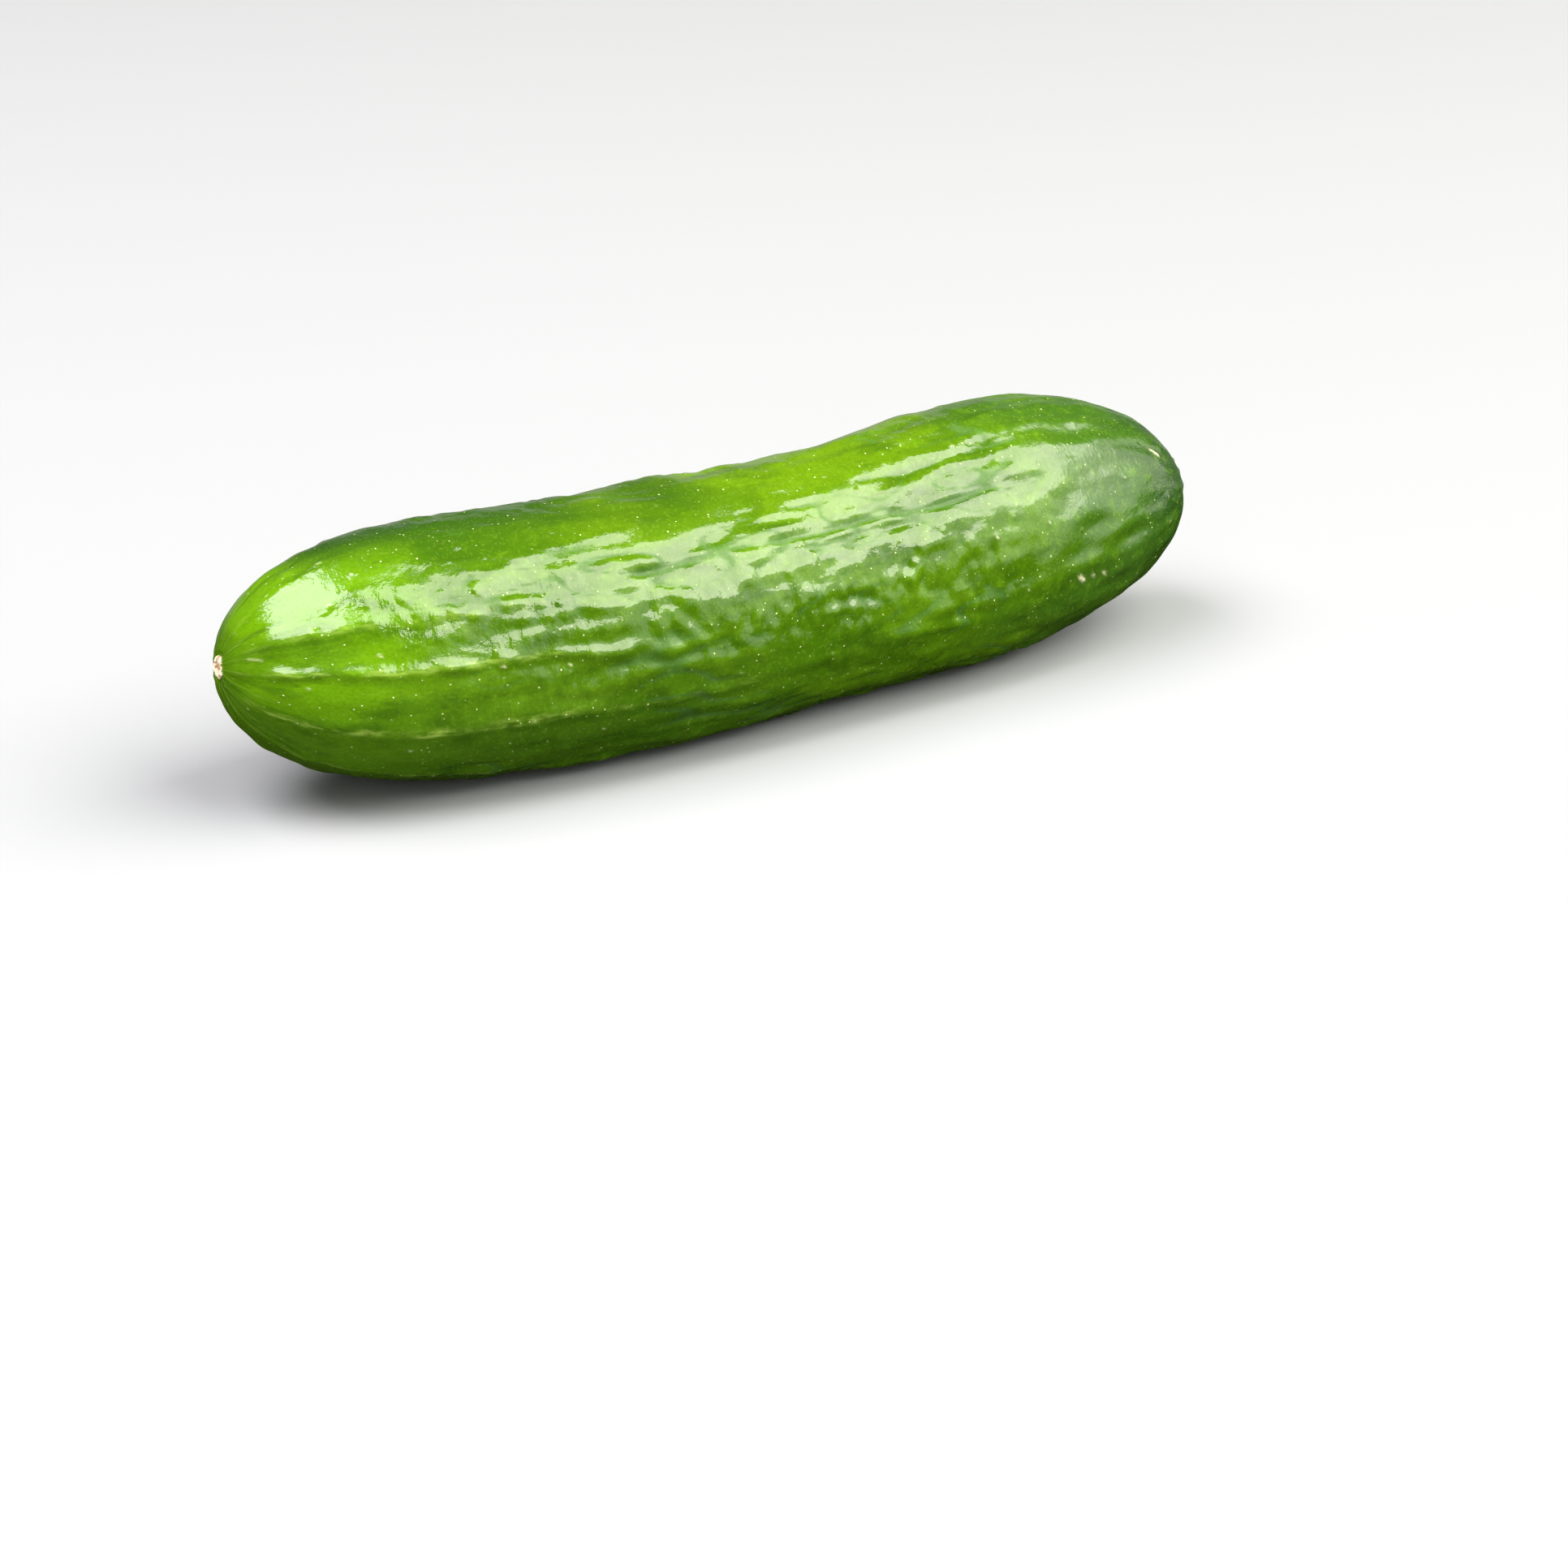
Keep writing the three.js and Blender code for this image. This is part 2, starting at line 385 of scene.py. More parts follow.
# %% Corky grazes
GRAZES = [  # from and to in mm from the blossom tip, angle in degrees, half width, rise in mm
    (131.4, 132.4, 132, 0.28, 0.12), (112.4, 113.2, 190, 0.34, 0.12),
    (115.2, 115.5, 192, 0.24, 0.10), (117.4, 117.8, 193, 0.24, 0.08),
    (2.0, 3.0, 153, 0.12, 0.06), (15.0, 15.1, 159, 0.18, 0.12), (88.0, 91.5, 301, 0.35, 0.14),
    (40.0, 41.2, 54, 0.35, 0.14), (66.0, 68.0, 252, 0.30, 0.12),
]
FULL_CORK = 0.35                     # half width at which a graze is cork all through, mm
graze = np.zeros_like(relief)
for start, end, degrees, half_width, rise in GRAZES:
    beyond = np.maximum(0, np.maximum(start - place, place - end))
    slant = np.radians(degrees + 2.5 * (place - start))
    apart = np.hypot(beyond, turn_between(angle, slant) * radius)
    relief = relief + rise * bell(apart, half_width)
    graze = np.maximum(graze, bell(apart, half_width) * half_width / FULL_CORK)
print("grazes:", len(GRAZES))

# %% [markdown]
# ## The two ends
#
# At the blossom end the flower left a corky button under 3 mm across, with an uneven rim and a
# small brown pit. Fine rays run out of it. At the other end the stalk tore off and left a shallow
# pale socket with a puckered collar. Both are folded by cosines of the angle, which fade out with
# distance from the scar.

# %% Blossom scar
uneven = 1 + 0.10 * np.cos(3 * angle + 1.0) + 0.07 * np.cos(5 * angle + 2.2)
uneven = uneven + 0.05 * np.cos(9 * angle)
scar_share = np.where(place < LENGTH / 2, radius / (BLOSSOM_SCAR_RADIUS * uneven), 99.0)
on_scar = 1 - ease(0.92, 1.08, scar_share)
button = 0.16 * ease(0.35, 0.8, scar_share) - 0.26 * (1 - ease(0.1, 0.42, scar_share))
moat = -0.16 * bell(scar_share - 1.18, 0.22)
grit = drift(1.5, 0.9, waves=40)
relief = relief + on_scar * (button + 0.05 * grit) + moat
rays = np.clip(np.cos(17 * angle + 1.3 * np.sin(2 * angle) + 0.4 * np.sin(place / 2)), 0, 1) ** 2
rays = rays * ease(1.0, 1.6, scar_share) * (1 - ease(5, 17, radius + place))
relief = relief + 0.05 * rays
print("scar:", round(2 * BLOSSOM_SCAR_RADIUS, 1), "mm wide, faces rough by 0.05 mm")

# %% Stalk scar
# Beyond the rim the profile turns back into the socket, so a ring is in it by how far along the
# profile it lies.
near_stalk = place > LENGTH / 2
SOCKET_RINGS = 30
before_socket = slice(None, -SOCKET_RINGS)
rim_walked = np.interp(stalk_rim - 1e-4, ring_place[before_socket], ring_walked[before_socket])
past_rim = (ring_walked > rim_walked)[:, None]
collar = np.where(near_stalk & ~past_rim, radius - STALK_SCAR_RADIUS, 99.0)
collar_fold = np.cos(13 * angle + 0.8 * np.sin(3 * angle)) * np.exp(-collar / 1.5)
lip = 0.22 + 0.10 * np.cos(3 * angle + 0.6) + 0.06 * np.cos(7 * angle)
relief = relief + 0.16 * collar_fold + lip * bell(collar - 0.5, 0.6)
in_socket = near_stalk & past_rim & (radius < floor_radius + 0.05)
vessels = bell(radius - 1.75 - 0.2 * np.cos(2 * angle), 0.36) * np.clip(np.cos(10 * angle), 0, 1)
fibres = 0.14 * grit + 0.22 * vessels + 0.34 * bell(radius, 0.7) - 0.25 * bell(radius - 1.0, 0.4)
relief = relief + np.where(in_socket, fibres, 0)
torn_edge = near_stalk * bell(radius - floor_radius - 0.25 - 0.2 * np.cos(5 * angle + 1), 0.55)
print("socket:", 2 * STALK_SCAR_RADIUS, "mm wide and", STALK_SCAR_DEPTH, "mm deep")

# %% Crinkles
# Past the blossom end the skin has dried into crinkles of one or two millimetres.
CRINKLE_HEIGHT = 0.055               # mm

crinkles = drift(3.6, 2.0, waves=64)
crinkles = crinkles - 1.6 * bell(crinkles, 0.22)
crinkled = side(141, 15) * stretch(13, 24, 50, 66)
relief = relief + CRINKLE_HEIGHT * crinkled * crinkles
print("share of the skin with crinkles:", (crinkled > 0.5).mean().round(3))

# %% Push the skin out and lay the fruit down
skin = plain + facing * relief[..., None] + settle
blossom_pole = skin[0].mean(axis=0)
stalk_pole = skin[-1].mean(axis=0)
skin[..., 2] = np.maximum(skin[..., 2], fruit_low[2] / MM)
print("whole relief:", relief.min().round(2), "to", relief.max().round(2), "mm")

# %% [markdown]
# ## From grid to mesh
#
# The grid becomes four-sided faces with wrap-around, and a fan of triangles closes each pole, so
# the skin is one closed body. The masks travel with the points as attributes, together with each
# point's place on a straight rod as thick as the body, which the finishes read for their patterns.

# %% Faces
rings = len(ring_place)
row = np.arange(rings - 1)[:, None] * AROUND
column = np.arange(AROUND)[None, :]
beside = (column + 1) % AROUND
quads = np.stack([row + column, row + beside, row + AROUND + beside, row + AROUND + column], -1)
first, last = rings * AROUND, rings * AROUND + 1
one, two = np.arange(AROUND), (np.arange(AROUND) + 1) % AROUND
blossom_fan = np.stack([np.full(AROUND, first), two, one], -1)
stalk_fan = np.stack([np.full(AROUND, last), one + first - AROUND, two + first - AROUND], -1)
faces = quads.reshape(-1, 4).tolist() + blossom_fan.tolist() + stalk_fan.tolist()
points = np.vstack([skin.reshape(-1, 3), blossom_pole, stalk_pole]) * MM

mesh = bpy.data.meshes.new("cucumber_fruit")
mesh.from_pydata(points, [], faces)
mesh.shade_smooth()
fruit = bpy.data.objects.new("cucumber_fruit", mesh)
bpy.context.scene.collection.objects.link(fruit)
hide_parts("cucumber")
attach(fruit, "root")
print("triangles:", 2 * quads.size // 4 + 2 * AROUND)

# %% Masks for the finishes
def attribute(name, field):
    """Stores one number for each point. The two poles take the mean of the nearest ring."""
    values = np.broadcast_to(field, relief.shape)
    flat = np.concatenate([values.ravel(), [values[0].mean(), values[-1].mean()]])
    layer = mesh.attributes.new(name, "FLOAT", "POINT")
    layer.data.foreach_set("value", flat.astype(np.float32))


on_rod = np.stack(np.broadcast_arrays(
    place, BODY_RADIUS * np.cos(angle), BODY_RADIUS * np.sin(angle)), axis=-1)
ends = [[0, 0, 0], [LENGTH, 0, 0]]
unrolled = np.vstack([on_rod.reshape(-1, 3), ends]) * MM
layer = mesh.attributes.new("unrolled", "FLOAT_VECTOR", "POINT")
layer.data.foreach_set("vector", unrolled.astype(np.float32).ravel())

streak_fade = (0.3 + 0.7 * (1 - ease(12, 56, place))) * ease(0.0, 2.0, place)
low_side = 0.15 + 0.85 * side(192, 60)
streaks = rib_line * streak_fade * low_side * np.clip(0.85 + 0.4 * drift(11, 5), 0.3, 1.2)
attribute("pale_line", np.clip(np.maximum(streaks, 0.55 * rays), 0, 1))
attribute("near_stem", ease(88, 130, place + 7 * drift(33, 14)))
attribute("near_blossom", 1 - ease(2, 34, place))
# The top is yellower in its own colour, and also lighter with painted light, as if the boxes lit
# it.
attribute("yellow_back_and_painted_light", side(88, 46) * stretch(26, 52, 84, 114))
# Painted shade: a dark band along the upper back, fading out towards the stalk.
shade_end = 1 - ease(44, 76, place + 8 * drift(30, 12))
attribute("painted_shade_back", side(76, 32) * ease(2, 14, place) * shade_end)
# Painted shade: the lower side is darkened, most of all towards the blossom end.
attribute("painted_shade_low_side", side(226, 46) * (1 - 0.8 * ease(44, 84, place)))
# The tip at the stalk end is darker: partly its own deeper green, partly painted shade.
attribute("dark_stalk_tip_and_shade", ease(121, 136, place + 4 * drift(14, 7)))
attribute("groove", groove_line)
attribute("pimple_tip", pimple_tip)
attribute("graze", np.clip(graze, 0, 1))
# Painted shade in the hollows: darker where the relief, apart from the ribs, dips below the
# surface.
attribute("hollow", ease(0.02, 0.24, -(relief - rib_height - 0.2 * drift(46, 20))))
print("masks on the mesh:", sum(layer.data_type == "FLOAT" for layer in mesh.attributes))

# %% [markdown]
# ## Finishes
#
# One small helper adds a node, sets its values and links its inputs. Colours are written as the
# hex values a painter would pick and turned to linear light by one function. A finish is painted
# as a painter would: a ground colour, then thin layers over it, each with its own mask.

# %% Helpers for node trees
def linear(hex_colour):
    """sRGB hex to linear light: c / 12.92 when dark, else ((c + 0.055) / 1.055)^2.4."""
    channels = np.array([int(hex_colour[i:i + 2], 16) for i in (1, 3, 5)]) / 255
    light = np.where(channels <= 0.04045, channels / 12.92, ((channels + 0.055) / 1.055) ** 2.4)
    return (*light.tolist(), 1.0)


def add(tree, kind, settings=None, **inputs):
    """Adds a node of a kind, sets its properties, and sets or links its inputs by name. A name
    such as in_2 means the third input, and a node given as an input is linked from its first
    output that is in use."""
    node = tree.nodes.new(kind)
    for name, value in (settings or {}).items():
        setattr(node, name, value)
    for name, value in inputs.items():
        key = int(name[3:]) if name.startswith("in_") else name.replace("_", " ")
        if isinstance(value, bpy.types.Node):
            value = next(socket for socket in value.outputs if socket.enabled)
        if isinstance(value, bpy.types.NodeSocket):
            tree.links.new(value, node.inputs[key])
        else:
            node.inputs[key].default_value = value
    return node


def new_material(name):
    """A material whose node tree is empty, and the tree."""
    material = bpy.data.materials.new(name)
    material.use_nodes = True
    material.node_tree.nodes.clear()
    return material, material.node_tree


# Settings that several nodes share
COLOUR_MIX = {"data_type": "RGBA"}
SMOOTH = {"interpolation_type": "SMOOTHSTEP"}
PRODUCT = {"operation": "MULTIPLY"}
SUM = {"operation": "ADD"}
LIKENESS = {"operation": "DOT_PRODUCT"}
print("half of the sRGB scale is this much light:", round(linear("#808080")[0], 3))

# %% [markdown]
# ### Waxy rind
#
# The skin of a cucumber is a layer of green cells under a thin natural wax, with nothing sprayed
# or polished on it. The wax gives a mirror-like reflection that stays milky, because it is thin and
# slightly rough, and it is duller near the stalk, where its bloom is untouched. Underneath, the
# green is deep and saturated, mottled over a few millimetres, stippled with pale pores, yellower
# on the back, and dark near the stalk. Painted light also lightens the top, and painted shade
# darkens a band on the upper back, the lower side and the hollows, and deepens the stalk tip.

# %% Where the rind's patterns lie
rind, tree = new_material("waxy_rind")
where = add(tree, "ShaderNodeAttribute", {"attribute_name": "unrolled"}).outputs["Vector"]
mask = {}
for name in ("pale_line", "near_stem", "dark_stalk_tip_and_shade", "near_blossom", "yellow_back_and_painted_light", "painted_shade_back",
             "painted_shade_low_side", "groove", "pimple_tip", "graze", "hollow"):
    mask[name] = add(tree, "ShaderNodeAttribute", {"attribute_name": name}).outputs["Fac"]
# A pattern on the first mapping is three times as long as it is wide, and on the second it is
# more than three times as wide as it is long.
along = add(tree, "ShaderNodeMapping", Vector=where, Scale=(0.35, 1.0, 1.0))
across = add(tree, "ShaderNodeMapping", Vector=where, Scale=(1.0, 0.28, 0.28))
print("masks that the rind reads:", len(mask))

# %% Patterns of the rind
patches = add(tree, "ShaderNodeTexNoise", Vector=along, Scale=1 / (6 * MM), Detail=3.0)
clouds = add(tree, "ShaderNodeTexNoise", Vector=along, Scale=1 / (3.2 * MM), Detail=4.0,
             Roughness=0.6)
mottle = add(tree, "ShaderNodeTexNoise", Vector=where, Scale=1 / (1.8 * MM), Detail=3.0,
             Roughness=0.65)
stipple = add(tree, "ShaderNodeTexNoise", Vector=where, Scale=1 / (0.4 * MM), Detail=2.0)
pores = add(tree, "ShaderNodeTexVoronoi", Vector=where, Scale=1 / (1.0 * MM))
warts = add(tree, "ShaderNodeTexVoronoi", Vector=where, Scale=1 / (3.8 * MM))
print("pores: cells of 1 mm, dots of 0.2 mm; small warts: cells of 3.8 mm, 0.6 mm wide")

# %% Fuzzy lines
# The pale lines on the ribs are made of thin strands along the fruit, about 0.3 mm wide.
thin_noise = add(tree, "ShaderNodeTexNoise", Vector=along, Scale=1 / (0.6 * MM), Detail=3.0)
strands = add(tree, "ShaderNodeMapRange", Value=thin_noise, From_Min=0.32, From_Max=0.66)
fuzzy_lines = add(tree, "ShaderNodeMath", PRODUCT, in_0=mask["pale_line"], in_1=strands)
print("ribs with a pale line:", sum(rib[2] == 0 and rib[4] > LINED_FROM for rib in RIBS))

# %% Layers of the rind's colour
GREEN_GROUND = "#365704"
LAYERS = [  # what, socket, its range, strength at the range's end, colour
    ("lighter patches", patches, 0.36, 0.66, 0.85, "#466903"),
    # yellower top, lightened with painted light
    ("yellow back and painted light", mask["yellow_back_and_painted_light"], 0.0, 1.0, 0.50, "#587804"),
    ("fresh blossom end", mask["near_blossom"], 0.0, 1.0, 0.72, "#5a8900"),
    ("dark stalk end", mask["near_stem"], 0.0, 1.0, 0.90, "#294c0d"),
    # the stalk tip's own darker green, deepened with painted shade
    ("darker stalk tip and painted shade", mask["dark_stalk_tip_and_shade"], 0.0, 1.0, 0.90, "#18370f"),
    ("mottling", mottle, 0.45, 0.75, 0.30, "#5c840f"),
    # painted shade along the upper back
    ("painted shade on the back", mask["painted_shade_back"], 0.0, 1.0, 1.0, "#1b3a08"),
    # painted shade on the lower side
    ("painted shade on the lower side", mask["painted_shade_low_side"], 0.0, 1.0, 0.52, "#29450f"),
    ("dark clouds", clouds, 0.52, 0.30, 0.56, "#213f06"),
    ("green of the grooves", mask["groove"], 0.1, 0.9, 0.55, "#2a5a03"),
    # painted shade in the hollows of the relief
    ("dark hollows", mask["hollow"], 0.0, 1.0, 0.40, "#2a4b04"),
    ("dark stipple", stipple, 0.52, 0.30, 0.22, "#2c5004"),
    ("light stipple", stipple, 0.54, 0.72, 0.16, "#6f9228"),
    ("lines on the ribs", fuzzy_lines, 0.05, 0.9, 0.58, "#86a043"),
    ("pimple tips", mask["pimple_tip"], 0.1, 1.0, 0.80, "#b9bd92"),
]
green = linear(GREEN_GROUND)
for what, socket, start, end, strength, colour in LAYERS:
    amount = add(tree, "ShaderNodeMapRange", SMOOTH, Value=socket, From_Min=start, From_Max=end,
                 To_Max=strength)
    green = add(tree, "ShaderNodeMix", {**COLOUR_MIX, "label": what}, in_0=amount, in_6=green,
                in_7=linear(colour))
print("layers of green:", len(LAYERS))

# %% Pores and grazes
# Only some cells of the pattern reach the skin, so the dots are scattered and differ in size.
dots = add(tree, "ShaderNodeMapRange", SMOOTH, Value=pores, From_Min=0.15, From_Max=0.05,
           To_Max=0.85)
fewer = add(tree, "ShaderNodeMapRange", SMOOTH, Value=mottle, From_Min=0.44, From_Max=0.60)
dots = add(tree, "ShaderNodeMath", PRODUCT, in_0=dots, in_1=fewer)
green = add(tree, "ShaderNodeMix", COLOUR_MIX, in_0=dots, in_6=green, in_7=linear("#bcc490"))
crumble = add(tree, "ShaderNodeMapRange", SMOOTH, Value=stipple, From_Min=0.3, From_Max=0.55)
cork = add(tree, "ShaderNodeMath", PRODUCT, in_0=mask["graze"], in_1=crumble)
green = add(tree, "ShaderNodeMix", COLOUR_MIX, in_0=cork, in_6=green, in_7=linear("#cfcaa4"))
print("nodes that make the rind's colour:", len(tree.nodes))

# %% Wax on the rind
# Roughness runs from a wiped shine near the blossom to the dull bloom near the stalk.
WIPED, BLOOMED = 0.14, 0.27
bloom = add(tree, "ShaderNodeMapRange", Value=mask["near_stem"], To_Min=WIPED, To_Max=BLOOMED)
uneven_wax = add(tree, "ShaderNodeMapRange", Value=patches, From_Min=0.3, From_Max=0.7,
                 To_Min=-0.06, To_Max=0.05)
wax = add(tree, "ShaderNodeMath", SUM, in_0=bloom, in_1=uneven_wax)
dull = add(tree, "ShaderNodeMapRange", SMOOTH, Value=mask["groove"], From_Min=0.15,
           From_Max=0.9, To_Max=0.42)
wax = add(tree, "ShaderNodeMath", SUM, in_0=wax, in_1=dull)
rubbed = add(tree, "ShaderNodeMapRange", SMOOTH, Value=clouds, From_Min=0.58, From_Max=0.78,
             To_Max=0.07)
wax = add(tree, "ShaderNodeMath", SUM, in_0=wax, in_1=rubbed)
print("roughness:", WIPED, "near the blossom and", BLOOMED, "near the stalk")

# %% Relief too fine for the mesh
# Under half a millimetre the relief is a bump: cells in rows across the fruit, slack skin between
# them, pores, and small warts. Plant wax bends light like a clear resin, so its IOR is 1.45.
rows = add(tree, "ShaderNodeTexNoise", Vector=across, Scale=1 / (0.62 * MM), Detail=3.0)
grain = add(tree, "ShaderNodeBump", Strength=0.8, Distance=0.052 * MM, Height=rows)
slack = add(tree, "ShaderNodeBump", Strength=0.8, Distance=0.13 * MM, Height=mottle, Normal=grain)
beads = add(tree, "ShaderNodeBump", Strength=0.8, Distance=0.05 * MM, Height=dots, Normal=slack)
wart_rise = add(tree, "ShaderNodeMapRange", SMOOTH, Value=warts, From_Min=0.17, From_Max=0.0)
lumps = add(tree, "ShaderNodeBump", Strength=0.9, Distance=0.08 * MM, Height=wart_rise,
            Normal=beads)
skin_shader = add(tree, "ShaderNodeBsdfPrincipled", Base_Color=green, IOR=1.45, Roughness=wax,
                  Normal=lumps)
add(tree, "ShaderNodeOutputMaterial", Surface=skin_shader)
print("nodes in the whole rind:", len(tree.nodes))

# %% [markdown]
# ### Cork and torn stalk
#
# Where a plant's skin is wounded it heals with cork: dry, matt, pinkish beige, and darker in its
# pits. The torn stalk shows pale green pith with darker ends of vessels. Cork has almost no gloss,
# and the moist pith has a little.

# %% Blossom scar cork
cork_finish, tree = new_material("blossom_scar_cork")
spot = add(tree, "ShaderNodeTexCoord").outputs["Object"]
pits = add(tree, "ShaderNodeTexNoise", Vector=spot, Scale=1 / (0.45 * MM), Detail=4.0)
raised = add(tree, "ShaderNodeMapRange", SMOOTH, Value=pits, From_Min=0.38, From_Max=0.6)
colour = add(tree, "ShaderNodeMix", COLOUR_MIX, in_0=raised, in_6=linear("#9a7650"),
             in_7=linear("#e0d6bd"))
centre = add(tree, "ShaderNodeAttribute", {"attribute_name": "scar_centre"}).outputs["Fac"]
colour = add(tree, "ShaderNodeMix", COLOUR_MIX, in_0=centre, in_6=colour, in_7=linear("#7c5632"))
rough = add(tree, "ShaderNodeBump", Strength=0.6, Distance=0.12 * MM, Height=pits)
cork_shader = add(tree, "ShaderNodeBsdfPrincipled", Base_Color=colour, Roughness=0.85, Normal=rough)
add(tree, "ShaderNodeOutputMaterial", Surface=cork_shader)
attribute("scar_centre", 1 - ease(0.18, 0.42, scar_share))
print("nodes in the cork:", len(tree.nodes))

# %% Torn stalk pith
pith_finish, tree = new_material("torn_stalk_pith")
spot = add(tree, "ShaderNodeTexCoord").outputs["Object"]
pits = add(tree, "ShaderNodeTexNoise", Vector=spot, Scale=1 / (0.6 * MM), Detail=4.0)
raised = add(tree, "ShaderNodeMapRange", SMOOTH, Value=pits, From_Min=0.35, From_Max=0.62)
colour = add(tree, "ShaderNodeMix", COLOUR_MIX, in_0=raised, in_6=linear("#66732f"),
             in_7=linear("#a3aa6a"))
for name, tint in (("vessels", "#4d6122"), ("torn_edge", "#5d5527")):
    share = add(tree, "ShaderNodeAttribute", {"attribute_name": name}).outputs["Fac"]
    colour = add(tree, "ShaderNodeMix", COLOUR_MIX, in_0=share, in_6=colour, in_7=linear(tint))
rough = add(tree, "ShaderNodeBump", Strength=0.7, Distance=0.2 * MM, Height=pits)
pith_shader = add(tree, "ShaderNodeBsdfPrincipled", Base_Color=colour, Roughness=0.5, Normal=rough)
add(tree, "ShaderNodeOutputMaterial", Surface=pith_shader)
attribute("vessels", 0.8 * vessels)
attribute("torn_edge", 0.85 * torn_edge)
print("nodes in the pith:", len(tree.nodes))

# %% Give the faces their finish
for material in (rind, cork_finish, pith_finish):
    mesh.materials.append(material)
quad_scar = (on_scar > 0.5)[:-1]
quad_socket = (near_stalk & past_rim & (radius < STALK_SCAR_RADIUS - 0.2))[:-1]
quad_finish = np.where(quad_scar, 1, np.where(quad_socket, 2, 0))
finish = np.concatenate([quad_finish.ravel(), np.full(AROUND, 1), np.full(AROUND, 2)])
mesh.polygons.foreach_set("material_index", finish.astype(np.int32))
mesh.update()
print("faces of rind, cork and pith:", np.bincount(finish))

# %% [markdown]
# ## Floor and light
#
# The fruit lies on a plain pale floor under two soft boxes, as in a product studio. The smaller
# and brighter one is above the blossom end, and the larger hangs over the rest. A low box at the
# stalk end and a fill that the skin doesn't mirror lift the shadows. A glossy skin shows its lights
# as shapes, so their places and sizes matter as much as their strength.

# %% Floor
FLOOR_SIZE = 14.0
floor_mesh = bpy.data.meshes.new("studio_floor")
half = FLOOR_SIZE / 2
floor_mesh.from_pydata([(-half, -half, 0), (half, -half, 0), (half, half, 0), (-half, half, 0)],
                       [], [(0, 1, 2, 3)])
floor = bpy.data.objects.new("studio_floor", floor_mesh)
bpy.context.scene.collection.objects.link(floor)
# The boxes are so bright that this grey paper comes out white.
paper, tree = new_material("matt_grey_paper")
paper_shader = add(tree, "ShaderNodeBsdfPrincipled", Base_Color=linear("#898d90"), Roughness=0.9)
add(tree, "ShaderNodeOutputMaterial", Surface=paper_shader)
floor_mesh.materials.append(paper)
print("floor:", FLOOR_SIZE, "m square")

# %% Soft boxes
WARM_WHITE = (1.0, 0.955, 0.86)
ROSE_WHITE = (1.0, 0.93, 0.95)       # takes the green cast out of the brightest reflection


def soft_box(name, at, size, brightness, faces=(0, 0, -1), turn=0, colour=WARM_WHITE):
    """A rectangular light. Its power is brightness * pi * area, so that its own face looks as
    bright as the number given. The turn is in degrees, in its own plane."""
    light = bpy.data.lights.new(name, "AREA")
    light.shape = "RECTANGLE"
    light.color = colour
    light.size, light.size_y = size
    light.energy = brightness * np.pi * size[0] * size[1]
    lamp = bpy.data.objects.new(name, light)
    lamp.location = at
    facing_way = Vector(faces).to_track_quat("-Z", "Y")
    lamp.rotation_euler = (facing_way @ Quaternion((0, 0, 1), np.radians(turn))).to_euler()
    bpy.context.scene.collection.objects.link(lamp)
    print(name + ":", round(light.energy, 1), "W")
    return lamp


BOX_HEIGHT = 1.6
soft_box("key_box", (-0.92, 0.12, BOX_HEIGHT), (1.30, 1.55), 12.4, colour=ROSE_WHITE)
soft_box("wide_box", (1.30, -1.22, BOX_HEIGHT), (2.50, 2.40), 9.8, turn=11)
soft_box("side_box", (2.6, -0.4, 0.75), (2.2, 1.5), 1.9, faces=(-1, 0.1, -0.25))
fill = soft_box("front_fill", (-1.1, -1.5, 1.0), (1.2, 1.2), 4.2, faces=(1.1, 1.5, -1.0))
fill.visible_glossy = False
floor.visible_glossy = False

# %% [markdown]
# ### What the skin mirrors
#
# A studio has dark corners and white cards. Dark surroundings keep the green deep on the sides
# that face them. A pale card behind the fruit draws a thin light rim along its upper edge, and a
# bright wall past its stalk end lays a sheen on that half. They are painted on the world by
# direction alone, and the paper isn't mirrored, so that the lower side stays green and not grey.

# %% Air of the studio
CARD_DIRECTION, CARD_EDGE = (0.50, 0.85, -0.16), (0.84, 0.96)  # edge: cosines it fades in over
WALL_DIRECTION, WALL_EDGE = (0.64, -0.66, 0.40), (0.81, 0.98)
WALL_LIGHT = (2.3, 2.25, 2.1, 1.0)
world = bpy.data.worlds.new("studio_air")
world.use_nodes = True
air = world.node_tree
air.nodes.clear()
toward = add(air, "ShaderNodeTexCoord").outputs["Generated"]
height = add(air, "ShaderNodeSeparateXYZ", Vector=toward).outputs["Z"]
above = add(air, "ShaderNodeMapRange", SMOOTH, Value=height, From_Min=-0.25, From_Max=0.15)
shade = add(air, "ShaderNodeMix", COLOUR_MIX, in_0=above, in_6=linear("#20240f"),
            in_7=linear("#52524c"))
match = add(air, "ShaderNodeVectorMath", LIKENESS, in_0=toward, in_1=CARD_DIRECTION)
card = add(air, "ShaderNodeMapRange", SMOOTH, Value=match, From_Min=CARD_EDGE[0],
           From_Max=CARD_EDGE[1])
card_foot = add(air, "ShaderNodeMapRange", SMOOTH, Value=height, From_Min=-0.36, From_Max=-0.26)
card = add(air, "ShaderNodeMath", PRODUCT, in_0=card, in_1=card_foot)
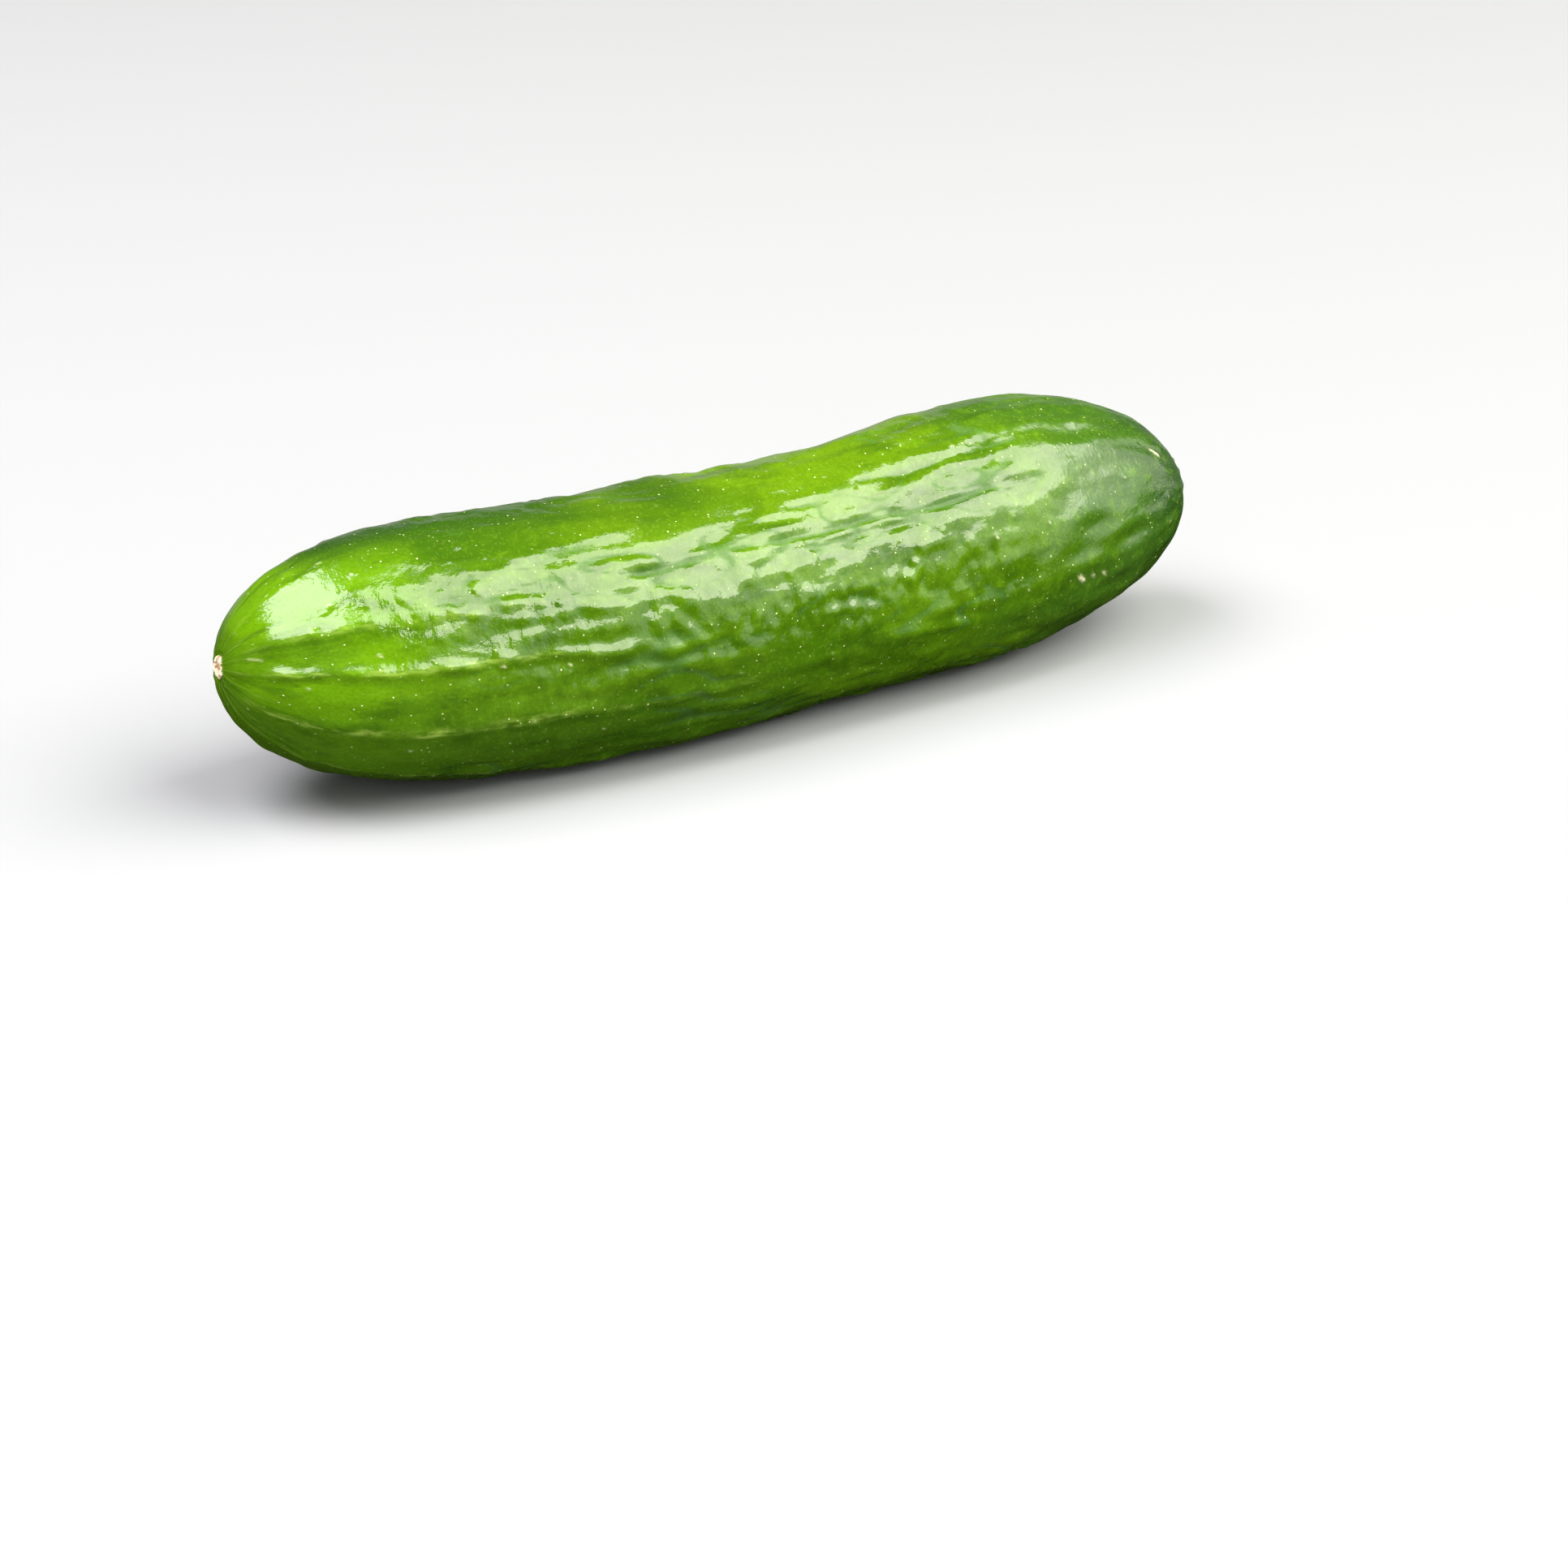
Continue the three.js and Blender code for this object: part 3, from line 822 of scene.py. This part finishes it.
shade = add(air, "ShaderNodeMix", COLOUR_MIX, in_0=card, in_6=shade, in_7=linear("#a6aa9e"))
match = add(air, "ShaderNodeVectorMath", LIKENESS, in_0=toward, in_1=WALL_DIRECTION)
wall = add(air, "ShaderNodeMapRange", SMOOTH, Value=match, From_Min=WALL_EDGE[0],
           From_Max=WALL_EDGE[1])
shade = add(air, "ShaderNodeMix", COLOUR_MIX, in_0=wall, in_6=shade, in_7=WALL_LIGHT)
background = add(air, "ShaderNodeBackground", Color=shade)
add(air, "ShaderNodeOutputWorld", Surface=background)
bpy.context.scene.world = world
bpy.context.scene.view_settings.view_transform = "Standard"
print("degrees across the card:", round(2 * np.degrees(np.arccos(CARD_EDGE[0]))))

# %% [markdown]
# ## Camera
#
# A portrait lens from half a metre away, looking 20 degrees down at the blossom end's side. The
# camera aims a little below and to the right of the fruit, so that the fruit sits high in the
# picture, and no lens shift is needed.

# %% Camera
SEEN_FROM = np.radians(-30.3)        # around the fruit, from -Y towards +X
LOOKS_DOWN = np.radians(20.0)
DISTANCE = 0.469
FRUIT_ABOVE_CENTRE = np.radians(3.12)
FRUIT_LEFT_OF_CENTRE = np.radians(0.78)

middle = Vector((fruit_low + fruit_high) / 2)
sight = Vector((np.sin(SEEN_FROM) * np.cos(LOOKS_DOWN), -np.cos(SEEN_FROM) * np.cos(LOOKS_DOWN),
                np.sin(LOOKS_DOWN)))
lens = bpy.data.cameras.new("portrait_lens")
lens.lens = 85
lens.sensor_width = 36
lens.clip_start = 0.01
camera = bpy.data.objects.new("camera", lens)
camera.location = middle + sight * DISTANCE
aim = (-sight).to_track_quat("-Z", "Y")
aim = aim @ Quaternion((0, 1, 0), -FRUIT_LEFT_OF_CENTRE)
aim = aim @ Quaternion((1, 0, 0), -FRUIT_ABOVE_CENTRE)
camera.rotation_mode = "QUATERNION"
camera.rotation_quaternion = aim
bpy.context.scene.collection.objects.link(camera)
bpy.context.scene.camera = camera
print("camera in mm:", [round(v / MM) for v in camera.location])
